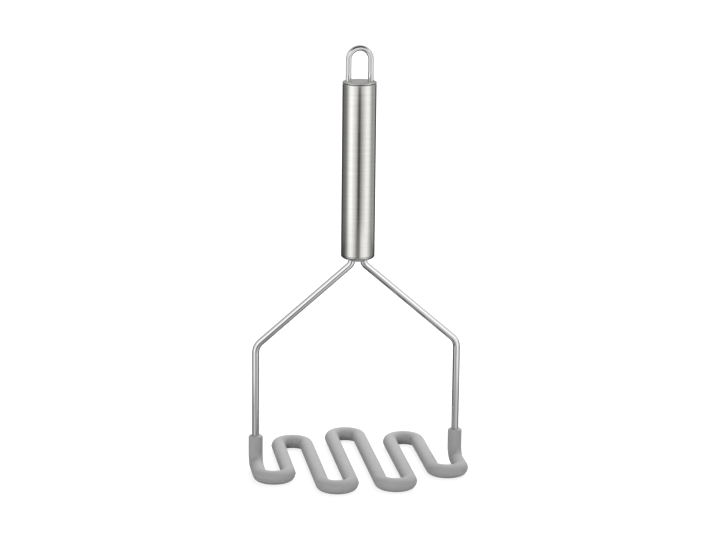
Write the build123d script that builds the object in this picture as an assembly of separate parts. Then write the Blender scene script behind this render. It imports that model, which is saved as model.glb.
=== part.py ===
from build123d import *
import math
import os

# A potato masher, standing on its head, in millimetres.
# X runs across the head, from leg to leg. Y runs from the front of the head to the back.
# Z is up. The origin is on the table, under the middle of the head and the handle's axis.

# Frame rod, which is bent into the tails, arms, legs and the serpentine
wire_diameter = 4.0
neck_radius = 5.0  # bend from a tail into an arm, on the rod's centre line
shoulder_radius = 8.0  # bend from an arm into a leg
heel_radius = 6.5  # bend from a leg into the head
shoulder_height = 72.4  # where the centre lines of arm and leg would meet
neck_drop = 1.1  # from the handle's lowest point down to where tail and arm would meet
tail_spacing = 6.6  # between the centres of the two tails
tail_length = 13.0  # how far the tails stand up inside the handle tube

# Serpentine head
tine_pitch = 16.4  # between the centres of neighbouring tines
head_reach = 49.0  # from the middle of the head to the centre line of the furthest bend
# Reach of each bend, from the left leg to the right one. The first bend is at the front.
bend_reach_shares = (0.58, 0.765, 1.0, 1.0, 1.0, 0.765, 0.58)

# Silicone sleeve, moulded round the head
sleeve_diameter = 7.8
collar_height = 20.3  # top of the collar on each leg, above the table
collar_round = 1.1  # rounding of the collar's top edge
moulding_clearance = 0.02  # between the rod and the bore of the sleeve

# Handle tube
handle_diameter = 19.0
handle_wall = 0.6
tube_length = 97.0
tube_height = 124.0  # lower end of the tube, above the table
fit_clearance = 0.05  # of each cap in the tube, and of each wire in its hole

# Domed cap in the handle's lower end
dome_height = 4.0
dome_corner = 1.8  # radius of the dome's outer corner
dome_sheet = 0.8  # thickness of the pressed sheet
skirt_depth = 3.0  # how far the cap's skirt stands inside the tube
frame_weld_leg = 1.2
frame_weld_height = 3.0  # top of these beads, above the dome's lowest point

# Turned plug in the handle's upper end
rim_height = 1.0  # part of the plug that stands out of the tube
rim_round = 0.85  # rounding of the plug's top edge
spigot_depth = 1.2  # part of the plug inside the tube
loop_weld_leg = 0.95
loop_weld_clearance = 0.15  # between these beads and the tube

# Hanging loop, whose legs stand as far apart as their weld beads have room for in the tube
loop_wire_diameter = 3.2
loop_rise = 20.0  # from the top of the plug to the top of the loop
loop_tail_length = 8.0  # how far the loop's legs reach below the plug

# Sizes that follow
wire_radius = wire_diameter / 2
sleeve_radius = sleeve_diameter / 2
head_height = sleeve_radius
bend_radius = tine_pitch / 2
bend_count = len(bend_reach_shares)
leg_x = bend_count * bend_radius
tail_x = tail_spacing / 2
neck_height = tube_height - dome_height - neck_drop
handle_radius = handle_diameter / 2
bore_radius = handle_radius - handle_wall
plug_radius = bore_radius - fit_clearance
skirt_bore_radius = plug_radius - dome_sheet
inside_depth = dome_height - dome_sheet
inside_corner = dome_corner - dome_sheet
tube_top = tube_height + tube_length
plug_top = tube_top + rim_height
loop_wire_radius = loop_wire_diameter / 2
loop_x = bore_radius - loop_weld_clearance - loop_weld_leg - loop_wire_radius


def bend_side(index):
    """Bends lie at the front (-1) and the back (+1) by turns."""
    return -1 if index % 2 == 0 else 1


def bend_start_y(index):
    """Y at which the straight tine ends and the half circle of a bend starts."""
    return bend_side(index) * (bend_reach_shares[index] * head_reach - bend_radius)


def serpentine_edges():
    """Centre line of the seven bends and of the tines between them."""
    edges = []
    for index in range(bend_count):
        start_x = -leg_x + index * tine_pitch
        y = bend_start_y(index)
        start = (start_x, y, head_height)
        crown = (start_x + bend_radius, y + bend_side(index) * bend_radius, head_height)
        end = (start_x + tine_pitch, y, head_height)
        edges.append(ThreePointArc(start, crown, end))
        if index + 1 < bend_count:
            next_start = (start_x + tine_pitch, bend_start_y(index + 1), head_height)
            edges.append(Line(end, next_start))
    return edges


def heel_points(side):
    """The corner under a leg, and the start of the first bend in front of it."""
    return [(side * leg_x, 0, head_height), (side * leg_x, bend_start_y(0), head_height)]


def rod_path():
    """Centre line of the whole rod, from one tail through the head to the other tail."""
    edges = serpentine_edges()
    for side in (-1, 1):
        corners = [
            (side * tail_x, 0, tube_height + tail_length),
            (side * tail_x, 0, neck_height),
            (side * leg_x, 0, shoulder_height),
        ]
        run = FilletPolyline(
            corners + heel_points(side), radius=[neck_radius, shoulder_radius, heel_radius]
        )
        edges.extend(run.edges())
    return Wire(edges)


def sleeve_path():
    """The part of the rod's centre line that the silicone covers, from collar to collar."""
    edges = serpentine_edges()
    for side in (-1, 1):
        collar_top = [(side * leg_x, 0, collar_height)]
        edges.extend(FilletPolyline(collar_top + heel_points(side), radius=[heel_radius]).edges())
    return Wire(edges)


def swept(section, path):
    """Sweep a flat section along a path, square to its start."""
    start = Plane(origin=path @ 0, z_dir=path % 0)
    return sweep(start * section, path=path)


def frame_wire():
    return swept(Circle(wire_radius), rod_path())


def silicone_sleeve():
    """Tube of silicone along the head, with the top edge of each collar rounded."""
    ring = Circle(sleeve_radius) - Circle(wire_radius + moulding_clearance)
    sleeve = swept(ring, sleeve_path())
    top_edges = sleeve.edges().filter_by(GeomType.CIRCLE).group_by(Axis.Z)[-1]
    rims = [edge for edge in top_edges if edge.radius > wire_radius + collar_round / 2]
    return fillet(rims, collar_round)


def revolved(outline, height):
    """Turn an outline in the YZ plane about the handle's axis, and set it at a height."""
    return Pos(0, 0, height) * revolve(make_face(Plane.YZ * outline), Axis.Z)


def crown_radius(radius, depth, corner):
    """Radius of a dome's flat crown, which runs smoothly into its corner."""
    return ((radius - corner) ** 2 + depth**2 - corner**2) / (2 * (depth - corner))


def dome_arcs(radius, depth, corner):
    """Outline of a dome: the crown arc from the axis, and the corner arc up to the rim."""
    crown = crown_radius(radius, depth, corner)
    turn = math.degrees(math.atan2(crown - depth, radius - corner))
    return [
        CenterArc((0, crown - depth), crown, -90, 90 - turn),
        CenterArc((radius - corner, 0), corner, -turn, turn),
    ]


def domed_shell():
    """Pressed dome with its skirt, before the holes. Its rim butts on the tube's end."""
    outline = Curve() + [
        *dome_arcs(handle_radius, dome_height, dome_corner),
        Line((handle_radius, 0), (plug_radius, 0)),
        Line((plug_radius, 0), (plug_radius, skirt_depth)),
        Line((plug_radius, skirt_depth), (skirt_bore_radius, skirt_depth)),
        Line((skirt_bore_radius, skirt_depth), (skirt_bore_radius, 0)),
        *dome_arcs(skirt_bore_radius, inside_depth, inside_corner),
        Line((0, -inside_depth), (0, -dome_height)),
    ]
    return revolved(outline, tube_height)


def inside_ball():
    """The ball whose underside is the inside of the dome's crown. Its poles lie level."""
    crown = crown_radius(skirt_bore_radius, inside_depth, inside_corner)
    return Pos(0, 0, tube_height - inside_depth + crown) * Rot(90, 0, 0) * Sphere(crown)


def bars_at(offset, radius, low, high):
    """Two upright round bars, one each side of the axis, to cut holes with."""
    bar = Pos(0, 0, (low + high) / 2) * Cylinder(radius, high - low)
    return [Pos(side * offset, 0, 0) * bar for side in (-1, 1)]


def lower_end_cap():
    low = tube_height - 2 * dome_height
    return domed_shell() - bars_at(tail_x, wire_radius + fit_clearance, low, tube_height)


def frame_weld_beads():
    """A tapered bead round each tail, filling the corner between the tail and the dome."""
    low = tube_height - dome_height
    taper = Cone(wire_radius + frame_weld_leg, wire_radius + frame_weld_leg / 3, frame_weld_height)
    beads = []
    for side, tail in zip((-1, 1), bars_at(tail_x, wire_radius, low - dome_height, tube_height)):
        bead = Pos(side * tail_x, 0, low + frame_weld_height / 2) * taper - tail
        beads.append((bead & inside_ball()).solid())
    return Compound(children=beads)


def handle_tube():
    ring = Circle(handle_radius) - Circle(bore_radius)
    return Pos(0, 0, tube_height) * extrude(ring, tube_length)


def top_end_cap():
    """Plug whose rounded rim covers the tube's end, with a hole for each leg of the loop."""
    outline = Curve() + [
        Line((0, -spigot_depth), (plug_radius, -spigot_depth)),
        Line((plug_radius, -spigot_depth), (plug_radius, 0)),
        Line((plug_radius, 0), (handle_radius, 0)),
        Line((handle_radius, 0), (handle_radius, rim_height - rim_round)),
        CenterArc((handle_radius - rim_round, rim_height - rim_round), rim_round, 0, 90),
        Line((handle_radius - rim_round, rim_height), (0, rim_height)),
        Line((0, rim_height), (0, -spigot_depth)),
    ]
    holes = bars_at(
        loop_x, loop_wire_radius + fit_clearance, tube_top - 2 * spigot_depth, plug_top + rim_height
    )
    return revolved(outline, tube_top) - holes


def hanging_loop():
    """U of wire: two legs through the plug, joined by a half circle."""
    foot = tube_top - spigot_depth - loop_tail_length
    spring_line = plug_top + loop_rise - loop_wire_radius - loop_x
    path = Wire([
        Line((-loop_x, 0, foot), (-loop_x, 0, spring_line)),
        ThreePointArc((-loop_x, 0, spring_line), (0, 0, spring_line + loop_x), (loop_x, 0, spring_line)),
        Line((loop_x, 0, spring_line), (loop_x, 0, foot)),
    ])
    return swept(Circle(loop_wire_radius), path)


def loop_weld_beads():
    """A tapered bead round each leg of the loop, under the plug."""
    seat = tube_top - spigot_depth
    taper = Cone(loop_wire_radius + loop_weld_leg / 3, loop_wire_radius + loop_weld_leg, loop_weld_leg)
    legs = bars_at(loop_x, loop_wire_radius, seat - 2 * loop_weld_leg, seat + loop_weld_leg)
    beads = []
    for side, leg in zip((-1, 1), legs):
        bead = Pos(side * loop_x, 0, seat - loop_weld_leg / 2) * taper - leg
        beads.append(bead.solid())
    return Compound(children=beads)


nodes = {
    "frame_wire": frame_wire,
    "silicone_sleeve": silicone_sleeve,
    "lower_end_cap": lower_end_cap,
    "frame_weld_beads": frame_weld_beads,
    "handle_tube": handle_tube,
    "top_end_cap": top_end_cap,
    "hanging_loop": hanging_loop,
    "loop_weld_beads": loop_weld_beads,
}

os.makedirs("parts", exist_ok=True)
for name, make in nodes.items():
    export_step(make(), f"parts/{name}.step")
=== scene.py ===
import math

import bmesh
import bpy
from mathutils import Matrix, Quaternion, Vector, noise


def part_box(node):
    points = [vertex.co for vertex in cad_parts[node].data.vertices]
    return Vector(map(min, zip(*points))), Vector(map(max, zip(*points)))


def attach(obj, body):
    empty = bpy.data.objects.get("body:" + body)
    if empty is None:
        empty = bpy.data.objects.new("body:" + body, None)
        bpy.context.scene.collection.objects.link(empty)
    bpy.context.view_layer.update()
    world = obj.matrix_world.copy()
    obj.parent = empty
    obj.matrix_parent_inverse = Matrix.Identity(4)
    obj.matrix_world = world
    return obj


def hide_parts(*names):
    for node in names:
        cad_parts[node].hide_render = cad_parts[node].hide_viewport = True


# A potato masher, standing on its head. Lengths are in metres, in the frame of the solids:
# X runs across the head from leg to leg, Y from the front to the back, and Z is up.
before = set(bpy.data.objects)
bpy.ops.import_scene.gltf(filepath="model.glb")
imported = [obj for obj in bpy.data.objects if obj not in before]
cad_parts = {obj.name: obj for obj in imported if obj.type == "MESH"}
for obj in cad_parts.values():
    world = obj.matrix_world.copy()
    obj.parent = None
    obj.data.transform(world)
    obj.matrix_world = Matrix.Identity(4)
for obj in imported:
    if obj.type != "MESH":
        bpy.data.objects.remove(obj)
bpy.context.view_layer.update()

mm = 0.001

# Places read from the solids
rod_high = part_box("frame_wire")[1]
sleeve_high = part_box("silicone_sleeve")[1]
tube_low, tube_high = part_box("handle_tube")
dome_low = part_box("lower_end_cap")[0]
plug_low, plug_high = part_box("top_end_cap")
loop_low, loop_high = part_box("hanging_loop")

# Frame rod
rod_radius = 2.0 * mm
neck_radius = 5.0 * mm  # bend from a tail into an arm
shoulder_radius = 8.0 * mm  # bend from an arm into a leg
heel_radius = 6.5 * mm  # bend from a leg into the head
shoulder_height = 72.4 * mm  # where the lines of arm and leg would meet
neck_drop = 1.1 * mm  # from the dome down to where the lines of tail and arm would meet
neck_height = dome_low.z - neck_drop
tail_x = 3.3 * mm  # from the handle's axis to the line of each tail
leg_x = rod_high.x - rod_radius  # and to the line of each leg

# Serpentine head, with its bends from the left leg to the right one
bend_reach_shares = (0.58, 0.765, 1.0, 1.0, 1.0, 0.765, 0.58)  # of the furthest bend's reach
head_reach = rod_high.y - rod_radius
bend_radius = leg_x / len(bend_reach_shares)

# Silicone sleeve
sleeve_radius = sleeve_high.x - leg_x
head_height = sleeve_radius
collar_round = 1.1 * mm  # outer rounding of a collar's lip
lip_round = 0.35 * mm  # inner rounding, against the rod
lip_waver = 0.07 * mm  # unevenness of the trimmed lip
waver_size = 1.3 * mm  # from one high place of that lip to the next
seam_width = 0.8 * mm  # raised line where the halves of the mould met
seam_height = 0.16 * mm  # twice the real height, so that the line shows

# Handle
fit_clearance = 0.05 * mm  # of the plug in the tube, and of each wire in its hole or bore
tube_radius = tube_high.x
tube_wall = 0.6 * mm
tube_edge = 0.3 * mm  # rounding of the tube's cut ends
plug_rim_round = 0.6 * mm  # rounding of the plug's top edge
groove_height = 0.3 * mm  # groove turned under the plug's rim
groove_depth = 0.55 * mm
tube_setback = 0.2 * mm  # how far the tube's upper end stands below the groove
groove_edge = 0.05 * mm  # rounding of the groove's upper lip
hole_round = 0.4 * mm  # broken edge of the holes for the loop

# Hanging loop
loop_wire_radius = loop_high.y
loop_x = loop_high.x - loop_wire_radius
loop_hole_radius = loop_wire_radius + fit_clearance

# Fineness of the meshes
arc_step = math.radians(3)
crisp_angle = math.radians(35)  # edges sharper than this stay crisp
rod_sides = 40
sleeve_sides = 64
turned_sides = 192
hole_sides = 48
edge_steps = 6  # faces over a small rounded edge
groove_steps = 3  # over the groove's upper lip
lip_steps = 9  # over the outer rounding of a collar
rim_steps = 10  # over the rounding of the plug
floor_cells = 8


# Paths of the bent pieces


def turned(centre, start, axis, angle):
    """Points on the arc that start makes when it turns about a centre."""
    count = math.ceil(abs(angle) / arc_step)
    spoke = start - centre
    return [centre + Matrix.Rotation(angle * i / count, 3, axis) @ spoke for i in range(count + 1)]


def rounded_run(corners, radii):
    """Points of a line through corners, with each inner corner rounded to its radius."""
    points = [corners[0]]
    for before, corner, after, radius in zip(corners, corners[1:], corners[2:], radii):
        back = (before - corner).normalized()
        on = (after - corner).normalized()
        half = back.angle(on) / 2
        start = corner + back * (radius / math.tan(half))
        centre = corner + (back + on).normalized() * (radius / math.sin(half))
        points += turned(centre, start, on.cross(back).normalized(), math.pi - 2 * half)
    return points + [corners[-1]]


def serpentine():
    """Centre line of the head: seven half circles, at the front and the back by turns."""
    points = []
    for index, share in enumerate(bend_reach_shares):
        side = -1 if index % 2 == 0 else 1
        start_x = -leg_x + 2 * bend_radius * index
        start = Vector((start_x, side * (share * head_reach - bend_radius), head_height))
        centre = start + Vector((bend_radius, 0, 0))
        points += turned(centre, start, "Z", -side * math.pi)
    return points


def rod_path():
    """Centre line of the whole rod, from one tail through the head to the other."""
    bends = serpentine()
    halves = []
    for side, end in ((-1, bends[0]), (1, bends[-1])):
        corners = [
            Vector((side * tail_x, 0, rod_high.z)),
            Vector((side * tail_x, 0, neck_height)),
            Vector((side * leg_x, 0, shoulder_height)),
            Vector((side * leg_x, 0, head_height)),
            end,
        ]
        halves.append(rounded_run(corners, (neck_radius, shoulder_radius, heel_radius)))
    return halves[0] + bends[1:-1] + halves[1][::-1]


def sleeve_path():
    """The covered part of that line, from collar to collar."""
    bends = serpentine()
    halves = []
    for side, end in ((-1, bends[0]), (1, bends[-1])):
        corners = [
            Vector((side * leg_x, 0, sleeve_high.z)),
            Vector((side * leg_x, 0, head_height)),
            end,
        ]
        halves.append(rounded_run(corners, (heel_radius,)))
    return halves[0] + bends[1:-1] + halves[1][::-1]


def loop_path():
    """Centre line of the hanging loop: two legs and the half circle over them."""
    spring_line = loop_high.z - loop_wire_radius - loop_x
    over = turned(Vector((0, 0, spring_line)), Vector((-loop_x, 0, spring_line)), "Y", math.pi)
    return [Vector((-loop_x, 0, loop_low.z))] + over + [Vector((loop_x, 0, loop_low.z))]


# Meshes


def finished(mesh_data, name):
    """Turns built mesh data into a piece with smooth faces and crisp edges."""
    bmesh.ops.recalc_face_normals(mesh_data, faces=mesh_data.faces)
    for face in mesh_data.faces:
        face.smooth = True
    for edge in mesh_data.edges:
        edge.smooth = len(edge.link_faces) != 2 or edge.calc_face_angle(0) < crisp_angle
    mesh = bpy.data.meshes.new(name)
    mesh_data.to_mesh(mesh)
    mesh_data.free()
    piece = bpy.data.objects.new(name, mesh)
    bpy.context.scene.collection.objects.link(piece)
    return piece


def bridge(mesh_data, ring, next_ring):
    """Joins two rings of points with faces."""
    for i in range(len(ring)):
        j = (i + 1) % len(ring)
        mesh_data.faces.new((ring[i], ring[j], next_ring[j], next_ring[i]))


def angles_round(sides):
    """Even angles round a full turn."""
    return [2 * math.pi * i / sides for i in range(sides)]


def round_outline(radius, sides):
    """Section of a round wire."""
    return [Vector((math.cos(a), math.sin(a))) * radius for a in angles_round(sides)]


def seamed_outline():
    """Section of the sleeve, with the mould's raised line on both sides."""
    half = seam_width / 2 / sleeve_radius
    near = [half * share for share in (-1, -0.66, -0.33, 0, 0.33, 0.66, 1)]
    angles = [side + angle for side in (0, math.pi) for angle in near]
    angles += [a for a in angles_round(sleeve_sides) if abs(math.remainder(a, math.pi)) > half]
    points = []
    for angle in sorted(a % (2 * math.pi) for a in angles):
        off = abs(math.remainder(angle, math.pi))
        rise = seam_height * math.cos(math.pi / 2 * min(1, off / half)) ** 2
        points.append(Vector((math.cos(angle), math.sin(angle))) * (sleeve_radius + rise))
    return points


def swept(name, path, outline, end_profile=((0, 1),), bore=None):
    """Carries an outline without twist along a path that starts upright. The end profile, from
    the path's end inwards, gives how far along the path each first ring lies and how large it
    is. A piece with a bore is hollow: its inner wall runs back along the path at that share of
    the size. Each point keeps its place round the piece and along it, for the draw lines."""
    heads = [(b - a).normalized() for a, b in zip(path, path[1:])]
    heads = [heads[0]] + [(a + b).normalized() for a, b in zip(heads, heads[1:])] + [heads[-1]]
    rings = [(path[0] + heads[0] * inset, heads[0], size) for inset, size in end_profile]
    rings += [(place, head, 1) for place, head in zip(path[1:-1], heads[1:-1])]
    rings += [(path[-1] - heads[-1] * inset, heads[-1], size) for inset, size in end_profile[::-1]]
    if bore:
        rings += [(place, head, bore) for place, head in zip(path[-2:0:-1], heads[-2:0:-1])]
    mesh_data = bmesh.new()
    lay = mesh_data.verts.layers.float_vector.new("lay")
    across = Vector((1, 0, 0))
    last_place, last_head, _ = rings[0]
    made_rings = []
    length = 0
    for place, head, size in rings:
        across = last_head.rotation_difference(head) @ across
        up = head.cross(across)
        length += (place - last_place).length
        ring = []
        for point in outline:
            vert = mesh_data.verts.new(place + (across * point.x + up * point.y) * size)
            vert[lay] = (point.x, point.y, length)
            ring.append(vert)
        made_rings.append(ring)
        last_place, last_head = place, head
    for ring, next_ring in zip(made_rings, made_rings[1:]):
        bridge(mesh_data, ring, next_ring)
    if bore:
        bridge(mesh_data, made_rings[-1], made_rings[0])
    else:
        mesh_data.faces.new(made_rings[0][::-1])
        mesh_data.faces.new(made_rings[-1])
    return finished(mesh_data, name)


def lathed(mesh_data, outline, sides, centre=0):
    """Turns an outline of (radius, height) points, and returns its first and last ring."""
    rings = []
    for radius, height in outline:
        ring = []
        for angle in angles_round(sides):
            x = centre + radius * math.cos(angle)
            ring.append(mesh_data.verts.new((x, radius * math.sin(angle), height)))
        rings.append(ring)
    for ring, next_ring in zip(rings, rings[1:]):
        bridge(mesh_data, ring, next_ring)
    return rings[0], rings[-1]


def quarter(radius, height, size, start, count=edge_steps):
    """Outline points of a rounded edge: a quarter circle about (radius, height)."""
    angles = [start + math.pi / 2 * i / count for i in range(count + 1)]
    return [(radius + size * math.cos(a), height + size * math.sin(a)) for a in angles]


def edges_round(mesh_data, ring):
    """The edges along a ring of points."""
    pairs = zip(ring, ring[1:] + ring[:1])
    return [mesh_data.edges.get(pair) for pair in pairs]


# Materials

noise_low, noise_high = 0.3, 0.7  # most values of a noise pattern lie between these
painted_shade_reach = 0.6 * mm  # how far from a joint or the foot of a wire the painted shade reaches
painted_shade_openness = (0.35, 0.8)  # the painted shade is full at the first openness and ends at the second
painted_shade_samples = 16


def linear(hex_colour):
    """An sRGB hex colour as the linear colour that shaders take."""
    parts = [int(hex_colour[i : i + 2], 16) / 255 for i in (1, 3, 5)]
    return [p / 12.92 if p <= 0.04045 else ((p + 0.055) / 1.055) ** 2.4 for p in parts] + [1]


def add(tree, kind, sockets=(), stops=(), **settings):
    """Adds a node and returns its outputs. Each socket gets a value, or is linked from another
    node's output. Stops are the places and colours of a colour ramp."""
    made = tree.nodes.new("ShaderNode" + kind)
    for setting, value in settings.items():
        setattr(made, setting, value)
    for socket, value in dict(sockets).items():
        if isinstance(value, bpy.types.NodeSocket):
            tree.links.new(value, made.inputs[socket])
        else:
            made.inputs[socket].default_value = value
    if stops:
        elements = made.color_ramp.elements
        elements.remove(elements[1])
        elements[0].position, elements[0].color = stops[0]
        for place, colour in stops[1:]:
            elements.new(place).color = colour
    return made.outputs


def new_material(name):
    """A material without nodes, and its node tree."""
    material = bpy.data.materials.new(name)
    material.use_nodes = True
    material.node_tree.nodes.clear()
    return material, material.node_tree


def painted_shade_in_joints(tree, colour):
    """The colour with painted shade: darkened where ambient occlusion finds a joint, a groove or
    the foot of a wire.
    """
    openness = add(tree, "AmbientOcclusion", {
        "Distance": painted_shade_reach,
    }, samples=painted_shade_samples)["AO"]
    # painted shade: near-black where other surfaces hem the surface in
    occlusion_shade = add(tree, "ValToRGB", {"Fac": openness}, (
        (painted_shade_openness[0], linear("#2C2B29")), (painted_shade_openness[1], linear("#FFFFFF")),
    ))["Color"]
    return add(tree, "Mix", {
        "Factor": 1, "A": colour, "B": occlusion_shade,
    }, data_type="RGBA", blend_type="MULTIPLY")["Result"]


def make_brushed_stainless_tube():
    """Stainless steel tube, belt polished while it turned. Hair-fine scratches run round it:
    they blur the room up and down the handle, but its bright and dark streaks stay crisp."""
    scratch_spacing = 0.22 * mm  # some ten times the real spacing, so that they show
    scratch_length = 14 * mm
    cloud_size = 9 * mm  # patches where the polish is a little duller
    material, tree = new_material("brushed_stainless_tube")
    place = add(tree, "TexCoord")["Object"]
    across_scratches = add(tree, "VectorMath", {
        0: place, 1: (1 / scratch_length, 1 / scratch_length, 1 / scratch_spacing),
    }, operation="MULTIPLY")["Vector"]
    scratches = add(tree, "TexNoise", {"Vector": across_scratches, "Scale": 1, "Detail": 3})["Fac"]
    clouds = add(tree, "TexNoise", {"Vector": place, "Scale": 1 / cloud_size, "Detail": 2})["Fac"]
    colour = add(tree, "ValToRGB", {"Fac": scratches}, (
        (noise_low, linear("#C4C3C0")), (noise_high, linear("#D0CFCC")),
    ))["Color"]
    scratched = add(tree, "MapRange", {
        "Value": scratches, "From Min": noise_low, "From Max": noise_high,
        "To Min": 0.12, "To Max": 0.17,
    })["Result"]
    smudged = add(tree, "MapRange", {
        "Value": clouds, "From Min": noise_low, "From Max": noise_high,
        "To Min": -0.015, "To Max": 0.015,
    })["Result"]
    roughness = add(tree, "Math", {0: scratched, 1: smudged}, operation="ADD")["Value"]
    relief = add(tree, "Bump", {
        "Height": scratches, "Strength": 0.12, "Distance": 0.02 * mm,
    })["Normal"]
    around = add(tree, "Tangent", direction_type="RADIAL", axis="Z")["Tangent"]
    # the colour carries painted shade at the joint under the plug
    steel = add(tree, "BsdfPrincipled", {
        "Base Color": painted_shade_in_joints(tree, colour), "Metallic": 1, "Roughness": roughness,
        "Anisotropic": 0.35, "Anisotropic Rotation": 0.25, "Tangent": around, "Normal": relief,
    })["BSDF"]
    add(tree, "OutputMaterial", {"Surface": steel})
    return material


def make_turned_stainless_plug():
    """Stainless steel bar faced on a lathe. Rings of tool marks round the axis make its face
    look even and satin, a little darker than the polished tube."""
    mark_spacing = 0.25 * mm  # twice the real feed of the tool, so that the marks show
    cloud_size = 3 * mm  # patches of slightly different tone
    material, tree = new_material("turned_stainless_plug")
    place = add(tree, "TexCoord")["Object"]
    flat = add(tree, "VectorMath", {0: place, 1: (1, 1, 0)}, operation="MULTIPLY")["Vector"]
    radius = add(tree, "VectorMath", {0: flat}, operation="LENGTH")["Value"]
    marks = add(tree, "TexNoise", {
        "W": radius, "Scale": 1 / mark_spacing, "Detail": 2,
    }, noise_dimensions="1D")["Fac"]
    clouds = add(tree, "TexNoise", {"Vector": place, "Scale": 1 / cloud_size, "Detail": 2})["Fac"]
    colour = add(tree, "ValToRGB", {"Fac": clouds}, (
        (0.35, linear("#B6B5B3")), (0.65, linear("#C4C3C1")),
    ))["Color"]
    roughness = add(tree, "MapRange", {
        "Value": marks, "From Min": noise_low, "From Max": noise_high,
        "To Min": 0.24, "To Max": 0.34,
    })["Result"]
    relief = add(tree, "Bump", {
        "Height": marks, "Strength": 0.2, "Distance": 0.02 * mm,
    })["Normal"]
    # the colour carries painted shade in the groove and round the loop's feet
    steel = add(tree, "BsdfPrincipled", {
        "Base Color": painted_shade_in_joints(tree, colour), "Metallic": 1, "Roughness": roughness,
        "Normal": relief,
    })["BSDF"]
    add(tree, "OutputMaterial", {"Surface": steel})
    return material


def make_pressed_stainless_dome():
    """Stainless sheet pressed to a dome and polished, smoother than the tube. The die leaves a
    faint grain like orange peel."""
    grain = 0.5 * mm
    material, tree = new_material("pressed_stainless_dome")
    place = add(tree, "TexCoord")["Object"]
    peel = add(tree, "TexNoise", {"Vector": place, "Scale": 1 / grain, "Detail": 3})["Fac"]
    colour = add(tree, "ValToRGB", {"Fac": peel}, (
        (noise_low, linear("#C2C1BF")), (noise_high, linear("#CECDCB")),
    ))["Color"]
    roughness = add(tree, "MapRange", {
        "Value": peel, "From Min": noise_low, "From Max": noise_high,
        "To Min": 0.16, "To Max": 0.22,
    })["Result"]
    relief = add(tree, "Bump", {
        "Height": peel, "Strength": 0.08, "Distance": 0.02 * mm,
    })["Normal"]
    # the colour carries painted shade round the wires' feet
    steel = add(tree, "BsdfPrincipled", {
        "Base Color": painted_shade_in_joints(tree, colour), "Metallic": 1, "Roughness": roughness,
        "Normal": relief,
    })["BSDF"]
    add(tree, "OutputMaterial", {"Surface": steel})
    return material


def make_drawn_stainless_wire():
    """Stainless wire, drawn bright through a die. Fine lines along its length keep reflections
    sharp along the wire and soften them a little across it."""
    line_width = 0.16 * mm  # some eight times the real lines, so that they show
    line_length = 30 * mm
    cloud_size = 4 * mm  # patches where the wire is a little duller
    material, tree = new_material("drawn_stainless_wire")
    lay = add(tree, "Attribute", attribute_name="lay")["Vector"]
    along = add(tree, "VectorMath", {
        0: lay, 1: (1 / line_width, 1 / line_width, 1 / line_length),
    }, operation="MULTIPLY")["Vector"]
    lines = add(tree, "TexNoise", {"Vector": along, "Scale": 1, "Detail": 2})["Fac"]
    place = add(tree, "TexCoord")["Object"]
    clouds = add(tree, "TexNoise", {"Vector": place, "Scale": 1 / cloud_size, "Detail": 2})["Fac"]
    colour = add(tree, "ValToRGB", {"Fac": lines}, (
        (noise_low, linear("#C8C8C8")), (noise_high, linear("#D4D4D4")),
    ))["Color"]
    lined = add(tree, "MapRange", {
        "Value": lines, "From Min": noise_low, "From Max": noise_high,
        "To Min": 0.08, "To Max": 0.13,
    })["Result"]
    smudged = add(tree, "MapRange", {
        "Value": clouds, "From Min": noise_low, "From Max": noise_high,
        "To Min": -0.02, "To Max": 0.02,
    })["Result"]
    roughness = add(tree, "Math", {0: lined, 1: smudged}, operation="ADD")["Value"]
    relief = add(tree, "Bump", {
        "Height": lines, "Strength": 0.07, "Distance": 0.015 * mm,
    })["Normal"]
    steel = add(tree, "BsdfPrincipled", {
        "Base Color": colour, "Metallic": 1, "Roughness": roughness, "Normal": relief,
    })["BSDF"]
    add(tree, "OutputMaterial", {"Surface": steel})
    return material


def make_matt_silicone():
    """Silicone rubber from a blasted mould: matt grey, with a soft grain like fine leather. A
    little light gets into the skin, and a trace of dust clings to it."""
    grain = 0.7 * mm  # twice the real grain, so that it shows
    mottle = 3.5 * mm  # patches of slightly different grey
    dust = 0.3 * mm  # from one speck to the next, coarser than real dust so that it shows
    skin_depth = 0.6 * mm  # how deep the light gets
    material, tree = new_material("matt_silicone")
    place = add(tree, "TexCoord")["Object"]
    skin = add(tree, "TexNoise", {
        "Vector": place, "Scale": 1 / grain, "Detail": 4, "Roughness": 0.6,
    })["Fac"]
    patches = add(tree, "TexNoise", {"Vector": place, "Scale": 1 / mottle, "Detail": 3})["Fac"]
    specks = add(tree, "TexVoronoi", {"Vector": place, "Scale": 1 / dust})["Distance"]
    tone = add(tree, "ValToRGB", {"Fac": patches}, (
        (noise_low, linear("#A6A6A6")), (noise_high, linear("#ADADAD")),
    ))["Color"]
    dusty = add(tree, "ValToRGB", {"Fac": specks}, (
        (0.06, linear("#B8B8B8")), (0.16, linear("#A8A8A8")),
    ))["Color"]
    colour = add(tree, "Mix", {"Factor": 0.3, "A": tone, "B": dusty}, data_type="RGBA")["Result"]
    roughness = add(tree, "MapRange", {
        "Value": skin, "From Min": noise_low, "From Max": noise_high,
        "To Min": 0.55, "To Max": 0.68,
    })["Result"]
    relief = add(tree, "Bump", {
        "Height": skin, "Strength": 0.4, "Distance": 0.1 * mm,
    })["Normal"]
    rubber = add(tree, "BsdfPrincipled", {
        "Base Color": colour, "Roughness": roughness, "IOR": 1.41, "Specular IOR Level": 0.4,
        "Subsurface Weight": 0.12, "Subsurface Radius": (1, 1, 1), "Subsurface Scale": skin_depth,
        "Sheen Weight": 0.06, "Sheen Roughness": 0.5, "Normal": relief,
    })["BSDF"]
    add(tree, "OutputMaterial", {"Surface": rubber})
    return material


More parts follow.
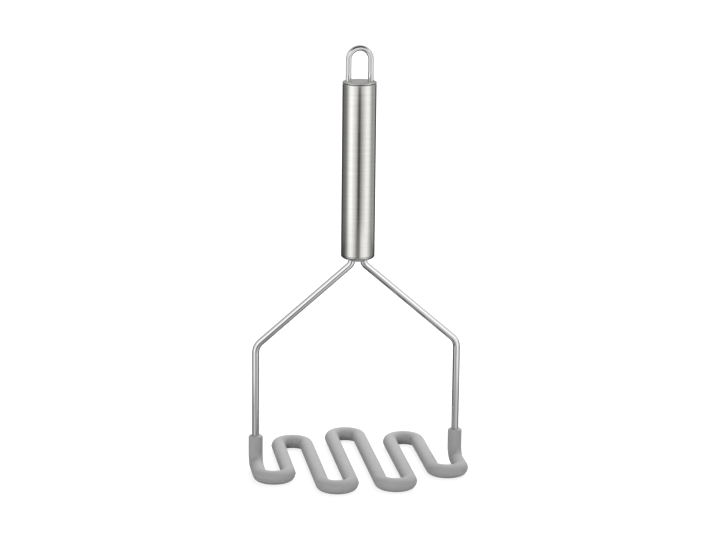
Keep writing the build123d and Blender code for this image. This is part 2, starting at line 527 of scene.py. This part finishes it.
def make_bare_weld_metal():
    """Weld metal left as it cooled: small ripples, with straw and blue-grey heat tints."""
    ripple = 0.4 * mm  # from one ripple to the next
    material, tree = new_material("bare_weld_metal")
    place = add(tree, "TexCoord")["Object"]
    ripples = add(tree, "TexNoise", {"Vector": place, "Scale": 1 / ripple, "Detail": 3})["Fac"]
    tint = add(tree, "ValToRGB", {"Fac": ripples}, (
        (noise_low, linear("#8A8C92")), (0.5, linear("#B4A993")), (noise_high, linear("#B2B0AE")),
    ))["Color"]
    roughness = add(tree, "MapRange", {
        "Value": ripples, "From Min": noise_low, "From Max": noise_high,
        "To Min": 0.35, "To Max": 0.55,
    })["Result"]
    relief = add(tree, "Bump", {
        "Height": ripples, "Strength": 0.6, "Distance": 0.1 * mm,
    })["Normal"]
    metal = add(tree, "BsdfPrincipled", {
        "Base Color": tint, "Metallic": 1, "Roughness": roughness, "Normal": relief,
    })["BSDF"]
    add(tree, "OutputMaterial", {"Surface": metal})
    return material


# Pieces


def make_frame_rod():
    """The one rod that is bent into tails, arms, legs and head."""
    piece = swept("bent_rod", rod_path(), round_outline(rod_radius, rod_sides))
    piece.data.materials.append(drawn_stainless_wire)
    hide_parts("frame_wire")
    return piece


def lip_profile():
    """How far in and how large the rings of a collar's lip are, from the rod outwards."""
    inner = quarter(rod_radius + lip_round, lip_round, lip_round, math.pi)
    outer = quarter(
        sleeve_radius - collar_round, collar_round, collar_round, -math.pi / 2, lip_steps
    )
    return [(inset, radius / sleeve_radius) for radius, inset in inner + outer]


def make_sleeve():
    """The silicone moulded round the head, with a collar up each leg and a hand-trimmed lip."""
    bore = (rod_radius + fit_clearance) / sleeve_radius
    piece = swept("moulded_sleeve", sleeve_path(), seamed_outline(), lip_profile(), bore)
    lip_depth = 2 * collar_round
    for vert in piece.data.vertices:
        near_lip = max(0, vert.co.z - sleeve_high.z + lip_depth) / lip_depth
        waver = noise.noise(vert.co / waver_size) * lip_waver * near_lip
        outwards = Vector((vert.co.x - math.copysign(leg_x, vert.co.x), vert.co.y, 0))
        vert.co += outwards * (waver / sleeve_radius)
        vert.co.z = min(vert.co.z + waver, sleeve_high.z)
    piece.data.materials.append(matt_silicone)
    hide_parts("silicone_sleeve")
    return piece


def make_tube():
    """The handle's tube, with its cut ends rounded."""
    low = tube_low.z
    high = tube_high.z - tube_setback
    bore = tube_radius - tube_wall
    outline = [(bore, low)]
    outline += quarter(tube_radius - tube_edge, low + tube_edge, tube_edge, -math.pi / 2)
    outline += quarter(tube_radius - tube_edge, high - tube_edge, tube_edge, 0)
    outline += [(bore, high)]
    mesh_data = bmesh.new()
    foot, top = lathed(mesh_data, outline, turned_sides)
    bridge(mesh_data, top, foot)
    piece = finished(mesh_data, "brushed_tube")
    piece.data.materials.append(brushed_stainless_tube)
    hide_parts("handle_tube")
    return piece


def make_plug():
    """The turned plug: rounded rim, flat face and two holes with broken edges."""
    top = plug_high.z
    seat = tube_high.z
    spigot_radius = tube_radius - tube_wall - fit_clearance
    groove_radius = tube_radius - groove_depth
    rim_foot = seat + groove_height
    outline = [(spigot_radius, plug_low.z), (spigot_radius, seat)]
    outline += [(groove_radius, seat), (groove_radius, rim_foot)]
    outline += quarter(
        tube_radius - groove_edge, rim_foot + groove_edge, groove_edge, -math.pi / 2, groove_steps
    )
    outline += quarter(
        tube_radius - plug_rim_round, top - plug_rim_round, plug_rim_round, 0, rim_steps
    )
    mesh_data = bmesh.new()
    foot, rim = lathed(mesh_data, outline, turned_sides)
    face_edges = edges_round(mesh_data, rim)
    underside_edges = edges_round(mesh_data, foot)
    for side in (-1, 1):
        mouth = quarter(loop_hole_radius + hole_round, top - hole_round, hole_round, math.pi / 2)
        mouth += [(loop_hole_radius, plug_low.z)]
        lip, end = lathed(mesh_data, mouth, hole_sides, side * loop_x)
        face_edges += edges_round(mesh_data, lip)
        underside_edges += edges_round(mesh_data, end)
    for edges in (face_edges, underside_edges):
        bmesh.ops.triangle_fill(mesh_data, edges=edges, use_beauty=True)
    piece = finished(mesh_data, "turned_plug")
    piece.data.materials.append(turned_stainless_plug)
    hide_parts("top_end_cap")
    return piece


def make_loop():
    """The thinner wire that is bent into the hanging loop."""
    piece = swept("loop_rod", loop_path(), round_outline(loop_wire_radius, rod_sides))
    piece.data.materials.append(drawn_stainless_wire)
    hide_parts("hanging_loop")
    return piece


def finish_kept_solids():
    """The domed cap and the weld beads keep their solids and get their finish."""
    for node, material in (
        ("lower_end_cap", pressed_stainless_dome),
        ("frame_weld_beads", bare_weld_metal),
        ("loop_weld_beads", bare_weld_metal),
    ):
        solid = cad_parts[node]
        solid.data.materials.clear()
        solid.data.materials.append(material)


# Floor and room

floor_half = 6.0
floor_tone = "#D0D0D0"  # the paper that lights the masher from below
shadow_tone = "#A0A0A0"  # the same paper where the camera sees it, under its glow
floor_glow = 0.8  # makes that floor white, and keeps the shadow
glow_radii = (0.3, 1.2)  # the glow rises to full white between these distances from the masher
room_level = 0.38  # strength of the even light

# Softboxes: where they stand, what they point at, and their size and power in watts
overhead_softbox = {"place": (0.4, 0.7, 1.05), "target": (0, 0, 0.05), "size": 0.9, "power": 18.3}
front_softbox = {"place": (-0.5, -1.3, 0.35), "target": (0, 0, 0.02), "size": 0.8, "power": 7.5}


def background_seen(tree):
    """1 where a ray shows the background itself: to the camera, in metal or through glass."""
    path = add(tree, "LightPath")
    direct = add(tree, "Math", {
        0: path["Is Camera Ray"], 1: path["Is Glossy Ray"],
    }, operation="ADD")["Value"]
    return add(tree, "Math", {
        0: direct, 1: path["Is Transmission Ray"],
    }, operation="ADD", use_clamp=True)["Value"]


def make_floor():
    """A pale floor. Seen directly it is white and keeps the soft shadow."""
    mesh_data = bmesh.new()
    bmesh.ops.create_grid(
        mesh_data, x_segments=floor_cells, y_segments=floor_cells, size=floor_half
    )
    floor = finished(mesh_data, "floor")
    material, tree = new_material("pale_floor")
    paper = add(tree, "BsdfDiffuse", {"Color": linear(floor_tone)})["BSDF"]
    shaded = add(tree, "BsdfDiffuse", {"Color": linear(shadow_tone)})["BSDF"]
    place = add(tree, "TexCoord")["Object"]
    distance = add(tree, "VectorMath", {0: place}, operation="LENGTH")["Value"]
    glow_level = add(tree, "MapRange", {
        "Value": distance, "From Min": glow_radii[0], "From Max": glow_radii[1],
        "To Min": floor_glow, "To Max": 1,
    })["Result"]
    glow = add(tree, "Emission", {"Strength": glow_level})["Emission"]
    white = add(tree, "AddShader", {0: shaded, 1: glow})["Shader"]
    either = add(tree, "MixShader", {"Fac": background_seen(tree), 1: paper, 2: white})["Shader"]
    add(tree, "OutputMaterial", {"Surface": either})
    floor.data.materials.append(material)
    floor.visible_glossy = False  # the steel mirrors the table screen in its place


def make_room():
    """An even white room, which lights from all sides."""
    world = bpy.data.worlds.new("white_room")
    world.use_nodes = True
    tree = world.node_tree
    tree.nodes.clear()
    light = add(tree, "Background", {"Color": (1, 1, 1, 1), "Strength": room_level})["Background"]
    white = add(tree, "Background", {"Color": (1, 1, 1, 1), "Strength": 1})["Background"]
    either = add(tree, "MixShader", {"Fac": background_seen(tree), 1: light, 2: white})["Shader"]
    add(tree, "OutputWorld", {"Surface": either})
    bpy.context.scene.world = world


def make_softbox(name, place, target, size, power):
    """A square lamp that throws soft light, and that the steel doesn't mirror."""
    data = bpy.data.lights.new(name, "AREA")
    data.shape = "SQUARE"
    data.size = size
    data.energy = power
    lamp = bpy.data.objects.new(name, data)
    bpy.context.scene.collection.objects.link(lamp)
    lamp.location = place
    lamp.rotation_mode = "QUATERNION"
    lamp.rotation_quaternion = (Vector(target) - lamp.location).to_track_quat("-Z", "Y")
    lamp.visible_glossy = False


# Screens that show only in reflections. The round screen stands about the masher, and the table
# screen lies under it. Two small rings, the collar and the halo over it, stand round the
# hanging loop, and a black card hangs over that. Each stop is an angle to the right of the
# side from which the photograph was taken, in degrees, and the brightness there.

screen_radius = 1.5  # of the round screen
screen_foot = -0.9
screen_top = 1.9
high_heights = (0.14, 0.3)  # where the belt, level with the handle, gives way to the high part
belt_stops = (
    (-180, 1.1), (-168, 0.7), (-158, 0.08), (-138, 0.07), (-118, 0.24), (-100, 0.28),
    (-84, 0.56), (-66, 1.45), (-52, 1.77), (-36, 1.33), (-22, 0.95), (-12, 0.65), (-4, 0.14),
    (5, 0.06), (12, 0.36), (28, 0.8), (52, 1.47), (68, 1.44), (84, 0.83), (96, 0.5),
    (125, 0.55), (138, 0.08), (158, 0.08), (168, 0.7), (180, 1.1),
)
high_stops = (
    (-180, 0.75), (-132, 0.5), (-100, 0.6), (-75, 0.95), (-50, 1.4), (-28, 1.65), (-12, 1.45),
    (-4, 0.75), (6, 0.65), (14, 1.35), (28, 1.75), (50, 1.75), (70, 1.45), (95, 1.1), (120, 0.9),
    (150, 0.7), (180, 0.75),
)
table_stops = (
    (-180, 0.6), (-168, 0.4), (-158, 0.06), (-107, 0.06), (-90, 0.12), (-72, 0.5),
    (-50, 0.92), (-23, 0.5), (-8, 0.48), (8, 0.58), (20, 0.66), (35, 0.7), (50, 0.82),
    (62, 0.9), (80, 0.6), (93, 0.3), (133, 0.12), (158, 0.06), (168, 0.4), (180, 0.6),
)
rim_stops = (
    (-180, 0.9), (-168, 0.6), (-158, 0.06), (-138, 0.06), (-105, 0.12), (-84, 0.45),
    (-66, 1.2), (-50, 1.5), (-36, 1.25), (-22, 0.85), (-8, 0.3), (8, 0.3), (15, 0.65),
    (21, 1.15), (40, 1.4), (60, 1.4), (84, 0.7), (105, 0.32), (138, 0.06), (158, 0.06),
    (168, 0.6), (180, 0.9),
)
table_radius = 0.5
table_eye = 0.1 * mm  # hole in the middle of the table screen, too small to show
table_drop = 0.01  # how far that screen lies under the floor
middle_half = 0.1  # half the width over which the table's middle gets brighter
middle_levels = (0, 0.46)  # its brightness at the left and at the right
table_radii = (0.07, 0.15)  # where the middle gives way to the table stops
rim_radii = (0.21, 0.3)  # where those give way to the rim stops
ring_radius = 0.03  # of the collar and the halo
collar_foot = plug_high.z - 0.5 * mm
halo_foot = plug_high.z + 14 * mm  # the loop's legs mirror what is below, its arc what is above
halo_top = plug_high.z + 28 * mm
collar_stops = (
    (-180, 0.56), (-162, 0.55), (-142, 0.5), (-116, 0.5), (-97, 0.48), (-78, 0.8), (-62, 1.35),
    (-48, 1.15), (-30, 0.9), (-12, 0.9), (5, 0.86), (22, 0.7), (38, 0.92), (60, 1.4), (80, 1.0),
    (110, 0.65), (142, 0.46), (162, 0.5), (180, 0.56),
)
halo_stops = (
    (-180, 0.62), (-120, 0.7), (-60, 1.1), (-20, 1.35), (20, 1.35), (60, 1.1), (110, 0.75),
    (150, 0.65), (180, 0.62),
)
flag_half = 0.03  # half the width of the card
flag_core = 0.012  # half of its dark middle, from where it fades to white
flag_tone = 0.1  # brightness of that middle
flag_front = (-0.03, 0.251)  # Y and Z of the card's front edge
flag_back = (0.003, 0.262)  # and of its back edge


def around(stops):
    """Ramp stops for a brightness at angles round the masher."""
    return [((degrees + 180) / 360, (level, level, level, 1)) for degrees, level in stops]


def room_axes(tree):
    """The place on a screen, in axes fixed in the room: X points to the side from which the
    photograph was taken, and Y to the right of it."""
    place = add(tree, "TexCoord")["Object"]
    turned_place = add(tree, "VectorRotate", {
        "Vector": place, "Angle": math.pi / 2 - camera_yaw,
    }, rotation_type="Z_AXIS")["Vector"]
    return add(tree, "SeparateXYZ", {"Vector": turned_place})


def angle_share(tree, axes):
    """How far round a screen a place lies, from 0 to 1. The photograph's side is at 0.5."""
    angle = add(tree, "Math", {0: axes["Y"], 1: axes["X"]}, operation="ARCTAN2")["Value"]
    return add(tree, "MapRange", {
        "Value": angle, "From Min": -math.pi, "From Max": math.pi,
    })["Result"]


def hang(mesh_data, tree, material, brightness):
    """Puts up a screen that glows, and that shows only in reflections."""
    glow = add(tree, "Emission", {"Color": brightness})["Emission"]
    add(tree, "OutputMaterial", {"Surface": glow})
    screen = finished(mesh_data, material.name)
    screen.data.materials.append(material)
    screen.visible_camera = False
    screen.visible_diffuse = False
    screen.visible_shadow = False


def make_round_screen():
    """The room round the masher: a belt for the upright handle, and a high part for the rest."""
    mesh_data = bmesh.new()
    lathed(mesh_data, ((screen_radius, screen_foot), (screen_radius, screen_top)), turned_sides)
    material, tree = new_material("round_screen")
    axes = room_axes(tree)
    share = angle_share(tree, axes)
    belt = add(tree, "ValToRGB", {"Fac": share}, around(belt_stops))["Color"]
    high = add(tree, "ValToRGB", {"Fac": share}, around(high_stops))["Color"]
    over_belt = add(tree, "MapRange", {
        "Value": axes["Z"], "From Min": high_heights[0], "From Max": high_heights[1],
    }, interpolation_type="SMOOTHSTEP")["Result"]
    bright = add(tree, "Mix", {
        "Factor": over_belt, "A": belt, "B": high,
    }, data_type="RGBA")["Result"]
    hang(mesh_data, tree, material, bright)


def make_ring_screen(name, foot, top, stops):
    """A small ring round the hanging loop."""
    mesh_data = bmesh.new()
    lathed(mesh_data, ((ring_radius, foot), (ring_radius, top)), turned_sides)
    material, tree = new_material(name)
    share = angle_share(tree, room_axes(tree))
    bright = add(tree, "ValToRGB", {"Fac": share}, around(stops))["Color"]
    hang(mesh_data, tree, material, bright)


def make_table_screen():
    """The table that the undersides mirror, in three zones from its middle outwards."""
    mesh_data = bmesh.new()
    lathed(mesh_data, ((table_eye, -table_drop), (table_radius, -table_drop)), turned_sides)
    material, tree = new_material("table_screen")
    axes = room_axes(tree)
    middle = add(tree, "MapRange", {
        "Value": axes["Y"], "From Min": -middle_half, "From Max": middle_half,
        "To Min": middle_levels[0], "To Max": middle_levels[1],
    })["Result"]
    share = angle_share(tree, axes)
    flat = add(tree, "CombineXYZ", {"X": axes["X"], "Y": axes["Y"]})["Vector"]
    radius = add(tree, "VectorMath", {0: flat}, operation="LENGTH")["Value"]
    bright = middle
    for (start, end), stops in ((table_radii, table_stops), (rim_radii, rim_stops)):
        zone = add(tree, "ValToRGB", {"Fac": share}, around(stops))["Color"]
        outwards = add(tree, "MapRange", {
            "Value": radius, "From Min": start, "From Max": end,
        }, interpolation_type="SMOOTHSTEP")["Result"]
        bright = add(tree, "Mix", {
            "Factor": outwards, "A": bright, "B": zone,
        }, data_type="RGBA")["Result"]
    hang(mesh_data, tree, material, bright)


def make_black_flag():
    """Black card over the hanging loop, which darkens the top of the loop."""
    corners = [(-flag_half, *flag_front), (flag_half, *flag_front)]
    corners += [(flag_half, *flag_back), (-flag_half, *flag_back)]
    mesh_data = bmesh.new()
    mesh_data.faces.new([mesh_data.verts.new(corner) for corner in corners])
    material, tree = new_material("black_flag")
    place = add(tree, "TexCoord")["Object"]
    across = add(tree, "SeparateXYZ", {"Vector": place})["X"]
    off = add(tree, "Math", {0: across}, operation="ABSOLUTE")["Value"]
    shade = add(tree, "MapRange", {
        "Value": off, "From Min": flag_core, "From Max": flag_half,
        "To Min": flag_tone, "To Max": 1,
    })["Result"]
    hang(mesh_data, tree, material, shade)


# Camera, with the photograph's viewing angle

photo_width = 716
focal_pixels = 2400  # focal length, in pixels of the photograph
sensor_width = 36  # in millimetres, as Blender's cameras have it
camera_distance = 1.3452
camera_pitch = math.radians(13.397)  # how far it looks down
camera_yaw = math.radians(-8.557)  # from straight in front, towards the left
camera_roll = math.radians(0.623)
camera_aim = Vector((-0.05, -2.01, 115.51)) * mm


def make_camera():
    """The camera, aimed at the middle of the masher."""
    data = bpy.data.cameras.new("camera")
    data.sensor_fit = "HORIZONTAL"
    data.sensor_width = sensor_width
    data.lens = focal_pixels / photo_width * sensor_width
    camera = bpy.data.objects.new("camera", data)
    bpy.context.scene.collection.objects.link(camera)
    level = math.cos(camera_pitch)
    back = Vector((
        math.sin(camera_yaw) * level, -math.cos(camera_yaw) * level, math.sin(camera_pitch)
    ))
    camera.location = camera_aim + back * camera_distance
    camera.rotation_mode = "QUATERNION"
    upright_view = (-back).to_track_quat("-Z", "Y")
    camera.rotation_quaternion = upright_view @ Quaternion((0, 0, 1), camera_roll)
    bpy.context.scene.camera = camera


# The scene

brushed_stainless_tube = make_brushed_stainless_tube()
turned_stainless_plug = make_turned_stainless_plug()
pressed_stainless_dome = make_pressed_stainless_dome()
drawn_stainless_wire = make_drawn_stainless_wire()
matt_silicone = make_matt_silicone()
bare_weld_metal = make_bare_weld_metal()

for make_piece in (make_frame_rod, make_sleeve, make_tube, make_plug, make_loop):
    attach(make_piece(), "root")
finish_kept_solids()

bpy.context.scene.view_settings.view_transform = "Standard"
make_room()
make_floor()
make_softbox("overhead_softbox", **overhead_softbox)
make_softbox("front_softbox", **front_softbox)
make_round_screen()
make_table_screen()
make_ring_screen("collar_screen", collar_foot, halo_foot, collar_stops)
make_ring_screen("halo_screen", halo_foot, halo_top, halo_stops)
make_black_flag()
make_camera()
